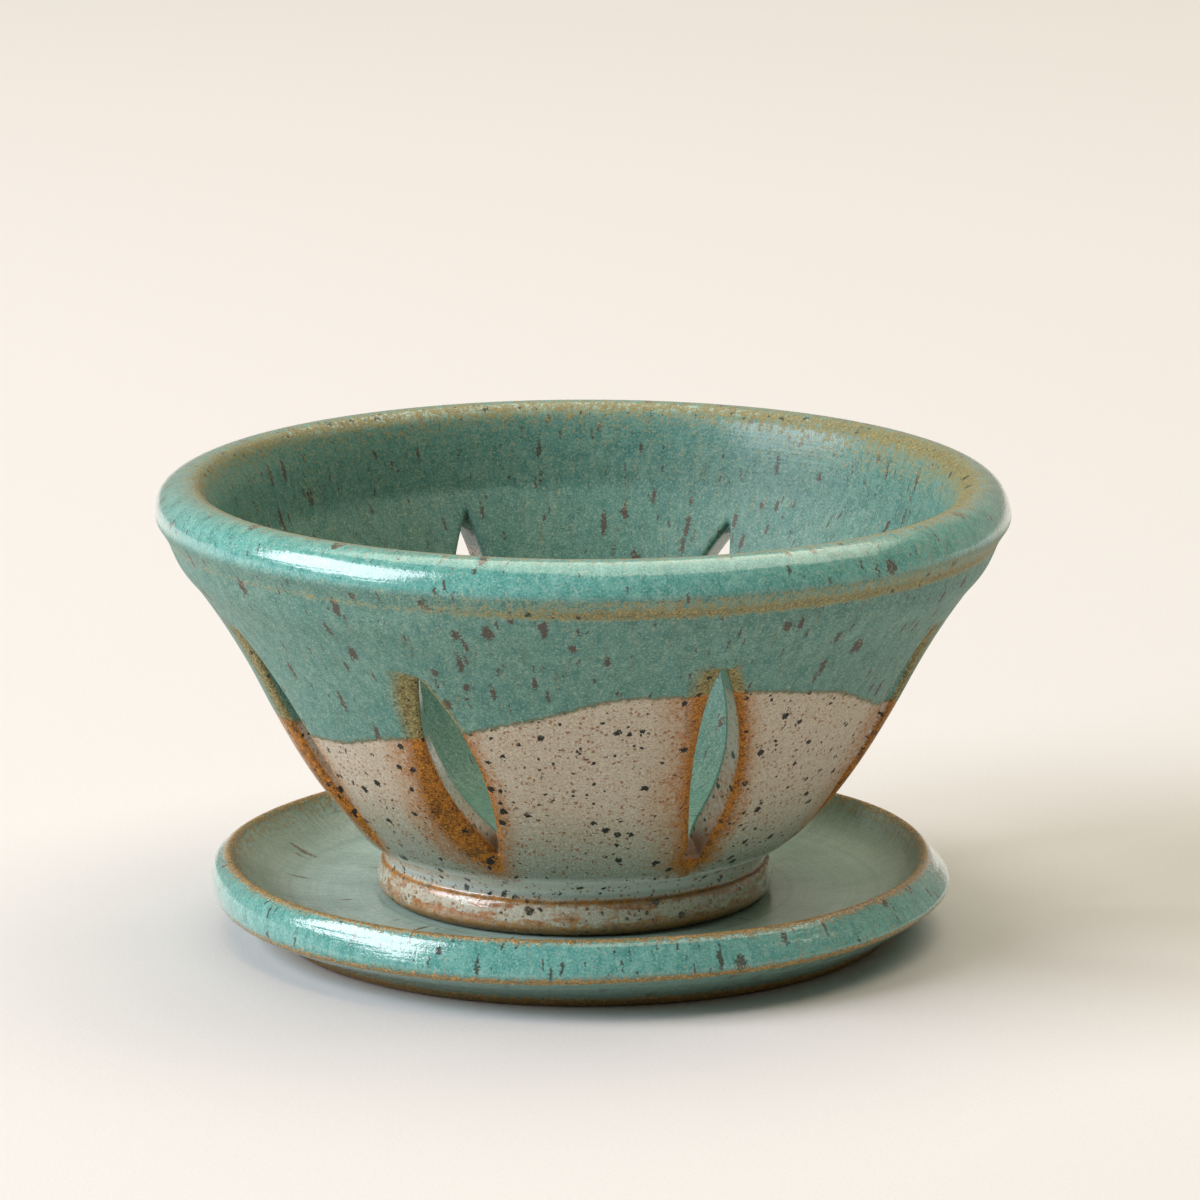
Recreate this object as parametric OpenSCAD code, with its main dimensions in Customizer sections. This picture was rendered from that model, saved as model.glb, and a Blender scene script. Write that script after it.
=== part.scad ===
// Berry colander: a thrown stoneware bowl with carved drain slots, standing loose on its own drip saucer.
// Millimetres, +Z up, origin at the centre of the underside of the saucer; the front faces -Y.

/* [Bowl] */
// Diameter of the bowl across the roll of its rim
rim_d = 130; // [122:1:138]
// Height of the bowl from the underside of its foot to the top of its rim
bowl_h = 64.8; // [61:0.2:69]
// Thickness of the bowl wall, square to its surface
wall_t = 5.8; // [4.8:0.1:6.8]
// Diameter of the round roll at the rim
rim_roll_d = 8.8; // [8:0.1:9.6]
// Height of the collar face between the flare of the wall and the middle of the rim roll
collar_h = 8.4; // [7:0.1:10]
// How far the lower edge of the collar lies inside the widest line of the rim
collar_in = 4; // [3.4:0.1:4.8]
// How far the top of the collar lies inside the rim roll, which leaves a crease under the roll
crease_in = 0.6; // [0.3:0.1:1]

/* [Wall curve] */
// Diameter of the belly where the wall leaves the cove above the foot
belly_d = 64.8; // [62:0.2:68]
// Share of the wall, from the cove up, at which the swelling belly turns into the hollow flare
turn_at = 0.585; // [0.5:0.005:0.66]
// How far the turning point lies outside the straight line from cove to collar
turn_out = 0.7; // [0.3:0.05:1]
// How much steeper than that straight line the wall stands at the turning point, degrees
wall_swing = 7.4; // [6.4:0.1:9]

/* [Bowl foot] */
// Diameter of the foot ring of the bowl
foot_d = 60.4; // [56:0.2:63]
// Height of the foot ring, up to the small step below the cove
foot_h = 6.4; // [5:0.1:7.4]
// Width of the small step on top of the foot ring
foot_step = 0.5; // [0.2:0.1:0.8]
// Radius of the rounded bottom edge of the foot ring
foot_edge = 1.2; // [0.6:0.1:2]
// Radius of the cove between the foot ring and the belly
cove_r = 3; // [2.6:0.1:4]
// Height of the cove above the foot ring
cove_h = 2.6; // [2.2:0.1:3]
// Width of the standing ring under the foot
ring_w = 6.2; // [4:0.2:9]
// Slope of the inner side of that ring, from its bottom edge to the hollow
ring_slope = 0.8; // [0.4:0.1:1.6]
// Depth of the hollow under the foot
recess_h = 3; // [1.5:0.1:4]
// Thickness of the bowl floor above that hollow
floor_t = 7.5; // [5.5:0.1:8.5]
// Radius of the soft curve between the floor and the wall, inside
floor_round = 12; // [8:0.5:15]

/* [Drain slots] */
// Number of drain slots around the wall
slot_count = 8; // [5:1:9]
// Clear width of a slot at its middle
slot_w = 7.8; // [6.5:0.1:9]
// Height of the lower tip of a slot above the underside of the foot
slot_low = 12.4; // [11.6:0.1:15]
// Height of the upper tip of a slot above the underside of the foot
slot_high = 45.2; // [40:0.2:47]
// Lean of every slot from straight up the wall, degrees
slot_lean = 8; // [0:0.5:12]
// Width of the carved bevel along the left side of a slot, seen from outside
bevel_left = 2.6; // [1:0.1:3]
// Width of the carved bevel along the right side of a slot
bevel_right = 1.7; // [1:0.1:3]
// Depth of both bevels, square to the wall
bevel_h = 1.7; // [1:0.1:2.2]
// Turn of the first slot from the front, degrees
slot_turn = 24.5; // [0:0.5:45]
// Hand-cut wander of each slot in a half turn from even spacing, degrees
slot_wander = [0, 2.5, 0.3, -2.7]; // [-3:0.1:3]

/* [Saucer] */
// Height of the saucer from the table to the top of its lip
saucer_h = 12.4; // [11.4:0.1:14]
// Height of the saucer floor, on which the bowl stands
saucer_floor = 6; // [4.6:0.1:6.6]
// Free floor around the foot of the bowl
well_margin = 11.8; // [9:0.2:14]
// Width of the saucer rim from the edge of the floor to its widest line
brim_w = 14.4; // [13:0.2:16]
// Radius of the hollow curve that rises from the floor to the lip
brim_round = 13.5; // [12:0.5:16]
// Height of the widest line of the saucer
brim_low = 7; // [6.4:0.1:7.8]
// Radius of the rolled lip of the saucer
lip_r = 1.1; // [0.8:0.1:1.4]
// Radius of the swelling outer face between the widest line and the lip
face_r = 8.2; // [7.4:0.1:10]
// How far the standing base lies inside the widest line
base_in = 9.2; // [7:0.2:11]
// Height of the upright edge of the standing base
base_h = 1.2; // [0.8:0.1:1.8]

/* [Hidden] */
$fn = 180;
// Colours of the two glazes
bowl_colour = [0.45, 0.68, 0.65];
saucer_colour = [0.40, 0.66, 0.62];
// Reach of a cutter beyond the faces that it cuts
over = 4;
// Steps of the turned arcs
edge_steps = 4;
cove_steps = 6;
belly_steps = 5;
flare_steps = 4;
round_steps = 6;

// Points of the bowl section are [radius, height above the underside of the foot]
rim_r = rim_d / 2;
roll_r = rim_roll_d / 2;
roll_mid = [rim_r - roll_r, bowl_h - roll_r];
collar_low = [rim_r - collar_in, roll_mid[1] - collar_h];
foot_r = foot_d / 2;
neck = [foot_r - foot_step, foot_h];
belly = [belly_d / 2, foot_h + cove_h];

// Wall curve: a swelling arc below and a hollow arc above, sharing one tangent at the turning point
chord = collar_low - belly;
chord_lean = atan2(chord[0], chord[1]);
turn_point = belly + turn_at * chord + turn_out * [cos(chord_lean), -sin(chord_lean)];
turn_lean = chord_lean - wall_swing;
turn_side = [cos(turn_lean), -sin(turn_lean)];
to_belly = belly - turn_point;
to_collar = collar_low - turn_point;
belly_r = -(to_belly * to_belly) / (2 * (turn_side * to_belly));
flare_r = (to_collar * to_collar) / (2 * (turn_side * to_collar));
belly_mid = turn_point - belly_r * turn_side;
flare_mid = turn_point + flare_r * turn_side;

// Inside of the bowl: the same arcs one wall thickness further in, and a soft curve into the floor
turn_inside = turn_point - wall_t * turn_side;
inside_r = belly_r - wall_t;
inside_floor = recess_h + floor_t;
round_z = inside_floor + floor_round;
round_x = belly_mid[0] + sqrt(pow(inside_r - floor_round, 2) - pow(round_z - belly_mid[1], 2));
round_mid = [round_x, round_z];
round_end = belly_mid + inside_r / (inside_r - floor_round) * (round_mid - belly_mid);
collar_drop = collar_low[1] - flare_mid[1];
collar_inside = [flare_mid[0] - sqrt(pow(flare_r + wall_t, 2) - pow(collar_drop, 2)), collar_low[1]];

// Cove above the foot: an arc through the inner end of the step and the start of the belly
cove_line = belly - neck;
cove_side = [cove_line[1], -cove_line[0]] / norm(cove_line);
cove_mid = neck + cove_line / 2 + sqrt(pow(cove_r, 2) - pow(norm(cove_line) / 2, 2)) * cove_side;

// Drain slots: a lens between two tips on the outer wall
slot_tip_low = [wall_radius(slot_low), slot_low];
slot_tip_high = [wall_radius(slot_high), slot_high];
slot_line = slot_tip_high - slot_tip_low;
slot_l = norm(slot_line);
slot_slope = atan2(slot_line[0], slot_line[1]);
slot_mid = (slot_tip_low + slot_tip_high) / 2;
lens_r = (pow(slot_l, 2) + pow(slot_w, 2)) / (4 * slot_w);
lens_shift = lens_r - slot_w / 2;
// Height of the swelling wall above the straight line between the tips of a slot
slot_swell = (wall_radius(slot_mid[1]) - slot_mid[0]) * cos(slot_slope);

// Points of the saucer section are [radius, height above the table]
well_r = foot_r + well_margin;
saucer_r = well_r + brim_w;
base_r = saucer_r - base_in;
brim_edge = [saucer_r, brim_low];
hollow_mid = [well_r, saucer_floor + brim_round];
// Lip roll: touches the hollow curve, with its top at the height of the saucer
lip_z = saucer_h - lip_r;
lip_mid = [well_r + sqrt(pow(brim_round + lip_r, 2) - pow(lip_z - hollow_mid[1], 2)), lip_z];
lip_inside = lip_mid + lip_r / (brim_round + lip_r) * (hollow_mid - lip_mid);
// Outer face: an arc from the widest line that runs smoothly into the lip roll
face_line = lip_mid - brim_edge;
face_gap = norm(face_line);
face_along = (pow(face_r, 2) - pow(face_r - lip_r, 2) + pow(face_gap, 2)) / (2 * face_gap);
face_aside = sqrt(pow(face_r, 2) - pow(face_along, 2));
face_mid = brim_edge + (face_along * face_line + face_aside * [-face_line[1], face_line[0]]) / face_gap;
face_end = face_mid + face_r / (face_r - lip_r) * (lip_mid - face_mid);

// Outer radius of the bowl wall at a height above the underside of the foot
function wall_radius(h) =
    h < turn_point[1]
    ? belly_mid[0] + sqrt(pow(belly_r, 2) - pow(h - belly_mid[1], 2))
    : flare_mid[0] - sqrt(pow(flare_r, 2) - pow(h - flare_mid[1], 2));

// Direction of a point seen from a centre, in degrees from 0 to 360
function angle_of(point, mid) = (atan2(point[1] - mid[1], point[0] - mid[0]) + 360) % 360;

// Points of an arc around a centre, without its starting point
function arc(mid, r, from, to, steps) = [
    for (i = [1 : steps])
        let (turn = from + (to - from) * i / steps)
            mid + r * [cos(turn), sin(turn)]
];

// Points of the arc around a centre that runs from one point to another, without its starting point
function arc_between(mid, first, last, steps) =
    arc(mid, norm(first - mid), angle_of(first, mid), angle_of(last, mid), steps);

// Half section of the bowl: up the outside from the foot to the collar and back down the inside to the floor,
// with the rim roll on top
module bowl_section() {
    polygon(concat(
        [[0, recess_h], [foot_r - ring_w - ring_slope, recess_h]],
        [[foot_r - ring_w, 0], [foot_r - foot_edge, 0]],
        arc([foot_r - foot_edge, foot_edge], foot_edge, -90, 0, edge_steps),
        [[foot_r, foot_h], neck],
        arc_between(cove_mid, neck, belly, cove_steps),
        arc_between(belly_mid, belly, turn_point, belly_steps),
        arc_between(flare_mid, turn_point, collar_low, flare_steps),
        [[rim_r - crease_in, roll_mid[1]], [rim_r - rim_roll_d + crease_in, roll_mid[1]], collar_inside],
        arc_between(flare_mid, collar_inside, turn_inside, flare_steps),
        arc_between(belly_mid, turn_inside, round_end, belly_steps),
        arc_between(round_mid, round_end, [round_mid[0], inside_floor], round_steps),
        [[0, inside_floor]]
    ));
    translate(roll_mid) circle(r = roll_r);
}

// One side of the bevel: a cone whose edge follows that side of the lens and opens toward the outer face
module bevel_cone(side, width) {
    low = slot_swell - bevel_h;
    rise = bevel_h + over;
    translate([side * lens_shift, 0, low])
        cylinder(h = rise, r1 = lens_r, r2 = lens_r + width * rise / bevel_h);
}

// Lens-shaped slot square to the wall, with its carved bevels
module drain_slot() {
    translate([0, 0, -wall_t - over]) {
        linear_extrude(wall_t + slot_swell + 2 * over) {
            intersection() {
                translate([-lens_shift, 0]) circle(r = lens_r);
                translate([lens_shift, 0]) circle(r = lens_r);
            }
        }
    }
    intersection() {
        bevel_cone(1, bevel_left);
        bevel_cone(-1, bevel_right);
    }
}

// The drain slots around the wall, each leaning the same way
module drain_slots() {
    for (i = [0 : slot_count - 1]) {
        rotate([0, 0, slot_turn + i * 360 / slot_count + slot_wander[i % len(slot_wander)]])
            translate([0, -slot_mid[0], slot_mid[1]])
                rotate([90 + slot_slope, 0, 0])
                    rotate([0, 0, slot_lean])
                        drain_slot();
    }
}

// The bowl: foot ring, swelling belly, flaring wall, rolled rim and carved slots, standing on the saucer floor
module colander_bowl() {
    color(bowl_colour)
        translate([0, 0, saucer_floor])
            difference() {
                rotate_extrude() bowl_section();
                drain_slots();
            }
}

// Half section of the saucer: base, widest line and swelling outer face, less the well, and the lip roll
module saucer_section() {
    difference() {
        union() {
            polygon([
                [0, 0], [base_r, 0], [base_r, base_h], brim_edge,
                face_end, lip_mid, lip_inside, [0, lip_inside[1]]
            ]);
            intersection() {
                polygon([brim_edge, [saucer_r + over, brim_low], [saucer_r + over, face_end[1]], face_end]);
                translate(face_mid) circle(r = face_r);
            }
        }
        translate([0, saucer_floor]) square([well_r, saucer_h]);
        translate(hollow_mid) circle(r = brim_round);
    }
    translate(lip_mid) circle(r = lip_r);
}

// The saucer: standing base, floor for the bowl, hollow rising brim and rolled lip
module saucer() {
    color(saucer_colour)
        rotate_extrude() saucer_section();
}

colander_bowl();
saucer();
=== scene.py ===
# %% [markdown]
# # A thrown colander bowl on its drip saucer
# The real thing is two pieces of wheel-thrown stoneware: a flared bowl with carved drain slots, and a
# saucer that catches the drips. The exact solids are loaded first as a frame. They give every size and
# place, and the pieces modelled below stand in for them with the softer edges and the glaze that a kiln
# gives.

# %% Load the frame
import math

import bmesh
import bpy
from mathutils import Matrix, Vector, noise


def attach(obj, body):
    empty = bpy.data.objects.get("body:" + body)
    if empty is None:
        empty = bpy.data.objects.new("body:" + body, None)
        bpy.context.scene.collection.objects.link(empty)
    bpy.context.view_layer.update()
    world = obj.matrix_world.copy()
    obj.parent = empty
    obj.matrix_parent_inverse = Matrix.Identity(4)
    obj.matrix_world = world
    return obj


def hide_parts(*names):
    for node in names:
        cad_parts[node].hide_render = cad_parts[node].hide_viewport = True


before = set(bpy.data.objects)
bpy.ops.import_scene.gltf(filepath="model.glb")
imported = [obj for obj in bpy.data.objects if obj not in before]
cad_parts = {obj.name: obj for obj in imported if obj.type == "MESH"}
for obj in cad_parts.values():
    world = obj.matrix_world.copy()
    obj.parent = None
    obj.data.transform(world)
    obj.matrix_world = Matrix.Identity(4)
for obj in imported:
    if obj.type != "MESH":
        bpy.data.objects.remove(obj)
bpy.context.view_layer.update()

MM = 0.001

# %% [markdown]
# ## The camera
# The product stands in front of a long lens, a little more than a metre away, seen from thirteen degrees
# above the table. A long lens keeps the ellipses of the rim and the saucer nearly alike. The lens is
# shifted a little instead of turned, so the upright lines of the bowl stay upright in the frame.

# %% Camera
look_at = Vector((0, 0, 40 * MM))
distance = 1100 * MM
elevation = math.radians(13.12)

camera_data = bpy.data.cameras.new("long_lens")
camera_data.sensor_width = 36
camera_data.lens = 215.26
camera_data.shift_x = 0.01375
camera_data.shift_y = 0.0607
camera = bpy.data.objects.new("long_lens", camera_data)
camera.location = look_at + distance * Vector((0, -math.cos(elevation), math.sin(elevation)))
camera.rotation_euler = (math.pi / 2 - elevation, 0, 0)
bpy.context.scene.collection.objects.link(camera)
bpy.context.scene.camera = camera
bpy.context.scene.view_settings.view_transform = "Standard"
print("camera at", tuple(round(c, 3) for c in camera.location))

# %% [markdown]
# ## Materials from nodes
# Every finish below is a small tree of shader nodes. One helper adds a node, sets its sockets and joins it
# to the nodes before it, so that a finish can be read from top to bottom. Colours are written as they look
# on a screen and are turned linear by one function, because shaders mix light and not screen values.

# %% Colour and node helpers
def linear(code):
    """Turns a screen colour such as 6f9f93 into the linear colour that a shader works with."""
    screen = [int(code[i:i + 2], 16) / 255 for i in (0, 2, 4)]
    return [c / 12.92 if c <= 0.04045 else ((c + 0.055) / 1.055) ** 2.4 for c in screen] + [1.0]


def add(tree, kind, sockets=None, **settings):
    """Adds one shader node. Each socket gets a value, a screen colour, or a socket or node to join."""
    made = tree.nodes.new("ShaderNode" + kind)
    for name, value in settings.items():
        setattr(made, name, value)
    for name, value in (sockets or {}).items():
        if isinstance(value, bpy.types.Node):
            value = next(out for out in value.outputs if out.enabled)
        if isinstance(value, bpy.types.NodeSocket):
            tree.links.new(value, made.inputs[name])
        else:
            made.inputs[name].default_value = linear(value) if isinstance(value, str) else value
    return made


def new_material(name):
    """Makes an empty material and gives back its node tree and its surface shader."""
    material = bpy.data.materials.new(name)
    material.use_nodes = True
    return material, material.node_tree, material.node_tree.nodes["Principled BSDF"]


# %% [markdown]
# ## The table and the light
# The set is one sheet of white paper on a table. A large softbox stands on the left, so the shadow falls to
# the right and a long bright streak lies on the left of both rims. A still larger, warmer panel hangs
# overhead and opens the shadow. The room gives hardly any light, but its pale walls show in reflections,
# which makes wet-looking glaze look wet. All of it together lights a flat sheet at about its own colour.

# %% Paper sheet
# Uncoated paper is matt: light spreads on it evenly, and only a fine tooth shows
sheet_material, tree, shader = new_material("white_paper")
place = add(tree, "TexCoord").outputs["Object"]
tooth = add(tree, "TexNoise", {"Vector": place, "Scale": 1 / (0.6 * MM), "Detail": 3.0})
paper = add(tree, "Mix", {0: tooth, 6: "eaeaeb", 7: "f4f4f5"}, data_type="RGBA")
dents = add(tree, "Bump", {"Height": tooth, "Strength": 0.12, "Distance": 0.3 * MM})
tree.links.new(paper.outputs[2], shader.inputs["Base Color"])
tree.links.new(dents.outputs[0], shader.inputs["Normal"])
shader.inputs["Roughness"].default_value = 0.9
shader.inputs["Specular IOR Level"].default_value = 0.0

SHEET_REACH = 4.0
sheet_mesh = bmesh.new()
bmesh.ops.create_grid(sheet_mesh, x_segments=1, y_segments=1, size=SHEET_REACH)
sheet_data = bpy.data.meshes.new("paper_sheet")
sheet_mesh.to_mesh(sheet_data)
sheet_mesh.free()
sheet = bpy.data.objects.new("paper_sheet", sheet_data)
sheet_data.materials.append(sheet_material)
bpy.context.scene.collection.objects.link(sheet)

# %% Lamps and room
def softbox(name, where, aim, size, watts, colour):
    """Hangs a rectangular lamp at one point and turns it to another."""
    lamp = bpy.data.lights.new(name, "AREA")
    lamp.shape = "RECTANGLE"
    lamp.size, lamp.size_y = size
    lamp.energy = watts
    lamp.color = linear(colour)[:3]
    holder = bpy.data.objects.new(name, lamp)
    holder.location = where
    holder.rotation_euler = (Vector(aim) - Vector(where)).to_track_quat("-Z", "Y").to_euler()
    bpy.context.scene.collection.objects.link(holder)


softbox("left_softbox", (-2.01, -0.54, 1.28), (0, 0, 0.05), (1.8, 1.35), 56.5, "f8f7ff")
softbox("overhead_panel", (0.35, 0.60, 2.30), (0.1, 0.4, 0.05), (3.2, 3.0), 57.5, "fff3dc")

room = bpy.data.worlds.new("pale_room")
room.use_nodes = True
wall_paint = room.node_tree.nodes["Background"]
wall_paint.inputs["Color"].default_value = linear("fff4e2")
rays = add(room.node_tree, "LightPath")
seen = add(room.node_tree, "Math", {
    0: rays.outputs["Is Camera Ray"], 1: rays.outputs["Is Glossy Ray"],
}, operation="MAXIMUM")
brightness = add(room.node_tree, "MapRange", {"Value": seen, "To Min": 0.06, "To Max": 0.36})
room.node_tree.links.new(brightness.outputs[0], wall_paint.inputs["Strength"])
bpy.context.scene.world = room

# %% [markdown]
# ## The curve of the bowl wall
# From the cove above the foot the wall swells out like a belly, and higher up it turns hollow and flares to
# the rim. Two circle arcs that share a tangent give both. A function that answers "how wide is the bowl at
# this height, and which way does its skin face" is handier than a list of points, because the slots have to
# be laid on that skin.

# %% Wall curve
BELLY_MID, BELLY_R = (-39.613, 83.777), 99.580
FLARE_MID, FLARE_R = (149.529, -9.410), 111.272
TURN_HEIGHT = 39.767
WALL = 5.8


def wall_point(height, depth=0.0):
    """Radius and height, in mm, of the point that lies this deep under the outer skin of the wall."""
    if height < TURN_HEIGHT:
        reach = math.sqrt(BELLY_R ** 2 - (height - BELLY_MID[1]) ** 2)
        skin = Vector((BELLY_MID[0] + reach, height))
        facing = (skin - Vector(BELLY_MID)) / BELLY_R
    else:
        reach = math.sqrt(FLARE_R ** 2 - (height - FLARE_MID[1]) ** 2)
        skin = Vector((FLARE_MID[0] - reach, height))
        facing = (Vector(FLARE_MID) - skin) / FLARE_R
    return skin - depth * facing


print("wall radius at 15, 40 and 57 mm:", [round(wall_point(h)[0], 2) for h in (15, 40, 57)])

# %% [markdown]
# ## The half section
# A thrown pot is a turned shape, so it starts as one half section that is spun around the middle. Each
# point of the section also says how thin the glaze lies there: glaze runs off edges while it melts, and the
# clay then shows through as a tan line. Rows crowd together where an edge has to stay crisp after
# subdivision.

# %% Section of the bowl
FOOT_ROWS = [
    (0.0, 9.0, 0.5), (10.0, 9.0, 0.5), (18.5, 9.0, 0.5), (22.5, 8.95, 0.6), (23.3, 8.4, 0.8),
    (23.8, 6.7, 0.9), (24.3, 6.12, 1.0), (25.2, 6.0, 1.0), (28.2, 6.0, 1.0), (29.0, 6.12, 1.0),
    (29.75, 6.55, 1.0), (30.3, 7.2, 0.85), (30.58, 8.0, 0.4), (30.55, 9.0, 0.2), (30.35, 10.0, 0.25),
    (30.1, 10.7, 0.2), (29.9, 11.15, 0.6), (29.65, 11.4, 1.0), (29.35, 11.55, 0.5), (29.2, 11.95, 0.05),
    (29.3, 12.55, 0.0), (29.65, 13.25, 0.0), (30.2, 13.9, 0.0), (30.9, 14.4, 0.0), (31.65, 14.75, 0.0),
]
WALL_HEIGHTS = [
    15.1, 15.9, 16.8, 17.6, 18.1, 18.4, 18.75, 19.4, 20.4, 21.6, 23.0, 24.6, 26.3, 28.1, 29.9, 31.8, 33.7,
    35.6, 37.5, 39.4, 41.2, 42.9, 44.5, 46.0, 47.3, 48.5, 49.5, 50.3, 50.85, 51.2, 51.55, 52.1, 52.8, 53.7,
    54.8, 56.0,
]
LOW_TIP, HIGH_TIP = WALL_HEIGHTS.index(18.4), WALL_HEIGHTS.index(51.2)
INSIDE_FROM, INSIDE_TO = WALL_HEIGHTS.index(54.8), WALL_HEIGHTS.index(17.6)
RIM_ROWS = [
    (60.45, 57.0, 0.0), (61.25, 58.0, 0.0), (61.93, 59.0, 0.0), (62.45, 60.0, 0.0), (62.88, 61.0, 0.0),
    (63.28, 62.0, 0.0), (63.47, 62.45, 0.65), (63.75, 63.0, 1.0), (64.0, 63.45, 0.9), (64.32, 63.95, 0.66),
    (64.67, 64.5, 0.5), (65.0, 64.95, 0.46), (65.2, 65.35, 0.52), (65.24, 65.8, 0.1), (65.18, 66.5, 0.0),
    (64.95, 67.4, 0.0), (64.52, 68.4, 0.0), (63.88, 69.35, 0.0), (63.0, 70.1, 0.05), (61.9, 70.58, 0.25),
    (60.6, 70.78, 0.42), (59.3, 70.62, 0.68), (58.3, 70.15, 0.8), (57.5, 69.45, 0.6), (57.0, 68.6, 0.42),
    (56.6, 67.5, 0.3), (56.1, 66.0, 0.22), (55.5, 63.8, 0.15), (54.85, 61.4, 0.1), (54.3, 59.6, 0.05),
]
FLOOR_ROWS = [
    (29.6, 20.45, 0.0), (28.4, 19.3, 0.0), (26.7, 18.1, 0.0), (24.8, 17.2, 0.0), (22.8, 16.68, 0.0),
    (20.7, 16.5, 0.0), (15.0, 16.5, 0.0), (8.0, 16.5, 0.0), (0.0, 16.5, 0.0),
]

rows = [dict(r=r, z=z, thin=thin, wall=None, inside=False) for r, z, thin in FOOT_ROWS]
for i, height in enumerate(WALL_HEIGHTS):
    skin = wall_point(height)
    rows.append(dict(r=skin[0], z=skin[1], thin=0.0, wall=i, inside=False))
rows += [dict(r=r, z=z, thin=thin, wall=None, inside=r < 58) for r, z, thin in RIM_ROWS]
for i in range(INSIDE_FROM, INSIDE_TO - 1, -1):
    skin = wall_point(WALL_HEIGHTS[i], WALL)
    rows.append(dict(r=skin[0], z=skin[1], thin=0.0, wall=i, inside=True))
rows += [dict(r=r, z=z, thin=thin, wall=None, inside=True) for r, z, thin in FLOOR_ROWS]


def lengths_along(section):
    """How far along a half section each of its points lies, in mm."""
    lengths = [0.0]
    for before, point in zip(section, section[1:]):
        lengths.append(lengths[-1] + math.hypot(point[0] - before[0], point[1] - before[1]))
    return lengths


bowl_section = [(row["r"], row["z"]) for row in rows]
bowl_lengths = lengths_along(bowl_section)
print("section rows:", len(rows), "length in mm:", round(bowl_lengths[-1], 1))

# %% [markdown]
# ## Spinning the bowl
# Spin turns the section into a skin of quads, one column of quads for each step. Every vertex carries the
# number of its row through the spin, so later steps can still tell which part of the section it came from.
# The first and last rows lie on the axis, and merging doubles closes them into poles.

# %% Spin
SLOTS = 8
SIDE_COLUMNS = 10
COLUMNS = SLOTS * 2 * SIDE_COLUMNS

SAME_POINT = 0.0001 * MM


def throw(section, columns):
    """Spins a half section into a closed skin whose vertices know their row, and gives back both."""
    skin = bmesh.new()
    row_of = skin.verts.layers.int.new("row")
    last = None
    for number, (radius, height) in enumerate(section):
        point = skin.verts.new((0, -radius * MM, height * MM))
        point[row_of] = number
        if last:
            skin.edges.new((last, point))
        last = point
    bmesh.ops.spin(
        skin, geom=skin.verts[:] + skin.edges[:], cent=(0, 0, 0), axis=(0, 0, 1), angle=math.tau,
        steps=columns, use_merge=True,
    )
    bmesh.ops.remove_doubles(skin, verts=skin.verts[:], dist=SAME_POINT)
    return skin, row_of


bowl, row_of = throw(bowl_section, COLUMNS)
print("spun bowl:", len(bowl.verts), "vertices", len(bowl.faces), "faces")

# %% [markdown]
# ## Laying out the drain slots
# Each slot was cut through the leather-hard wall with a knife: an almond that leans a little, with a bevel
# shaved along each side. No two are quite alike. A boolean cut would leave ragged faces, so the columns of
# the spun skin are pushed aside instead: in each eighth of the bowl the two middle columns become the lips
# of a slot, the next ones become its bevel, and the others close up toward the neighbour slot.

# %% Slots, as they were cut
# Sizes in mm: heights of the two tips, clear width, roundness of the low tip, how far the middle is bowed,
# how far the cut slants through the wall, lengths of the two ears at the top, and the widths of the left and
# the right bevel at the top, in the middle and low down. The turn is in degrees from the front
COMMON = dict(
    top=51.2, low=18.4, width=7.7, blunt=0.35, bow=0.3, tilt=-0.5,
    ears=(1.0, 1.3), left=(2.6, 2.2, 2.4), right=(2.0, 1.3, 1.3),
)
slots = [
    dict(
        COMMON, turn=24.0, top=52.3, low=17.9, width=7.2, blunt=1.6, bow=0.75,
        ears=(0.8, 1.4), left=(3.9, 1.6, 1.3), right=(2.0, 1.1, 1.0),
    ),
    dict(COMMON, turn=71.6, top=51.6),
    dict(COMMON, turn=114.4, low=18.0, width=7.9),
    dict(COMMON, turn=156.4, top=50.6, left=(2.8, 2.3, 3.2)),
    dict(COMMON, turn=204.1, top=51.9, blunt=0.9),
    dict(COMMON, turn=251.6, low=18.8, width=7.5),
    dict(COMMON, turn=294.4, top=51.0),
    dict(
        COMMON, turn=336.4, top=50.2, low=19.3, blunt=0.2, bow=0.0, tilt=-1.7,
        ears=(1.2, 0.3), left=(3.6, 2.3, 4.8), right=(0.9, 0.7, 0.7),
    ),
]
LEAN = math.tan(math.radians(7))
TIP = 0.12
WOBBLE = 0.16


def ease(x, low=0.0, high=1.0):
    """A smooth step from 0 to 1 while x goes from low to high."""
    x = min(max((x - low) / (high - low), 0.0), 1.0)
    return x * x * (3 - 2 * x)


def slot_length(slot):
    """Distance in mm between the two tips of a slot, measured on the wall."""
    return (wall_point(slot["top"]) - wall_point(slot["low"])).length


def half_width(slot, t):
    """Half of the clear width of a slot, in mm, from t = 0 at its low tip to t = 1 at its high tip."""
    t = min(max(t, 0.0), 1.0)
    length, width = slot_length(slot), slot["width"]
    lens_r = (length ** 2 + width ** 2) / (4 * width)
    lens = math.sqrt(lens_r ** 2 - ((t - 0.5) * length) ** 2) - lens_r + width / 2
    return TIP + math.hypot(max(lens, 0.0), slot["blunt"] * (1 - t) ** 6)


def bevel_width(slot, side, t):
    """Width of the shaved bevel in mm, with the small unevenness of a hand-held knife."""
    top, middle, low = slot["right"] if side > 0 else slot["left"]
    t = min(max(t, 0.0), 1.0)
    width = low + (middle - low) * ease(t, 0.1, 0.65) + (top - middle) * ease(t, 0.68, 0.95)
    return width * (1 + WOBBLE * noise.noise(Vector((slot["turn"], 5 * t, 3 * side))))


print("slot lengths in mm:", [round(slot_length(slot), 1) for slot in slots])

# %% Push the columns aside
# Lengths in mm: how far past the tips the columns relax, how far below the low tip the bevels and the lips
# run out, how far above the high tip the bevel fades, the line beside a bevel, and the support beyond it
RELAX = 7.0
RUN_OUT = 3.4
LIP_RUN_OUT = 1.2
FADE_OUT = 1.3
EDGE = 0.1
SUPPORT = 0.65

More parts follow.
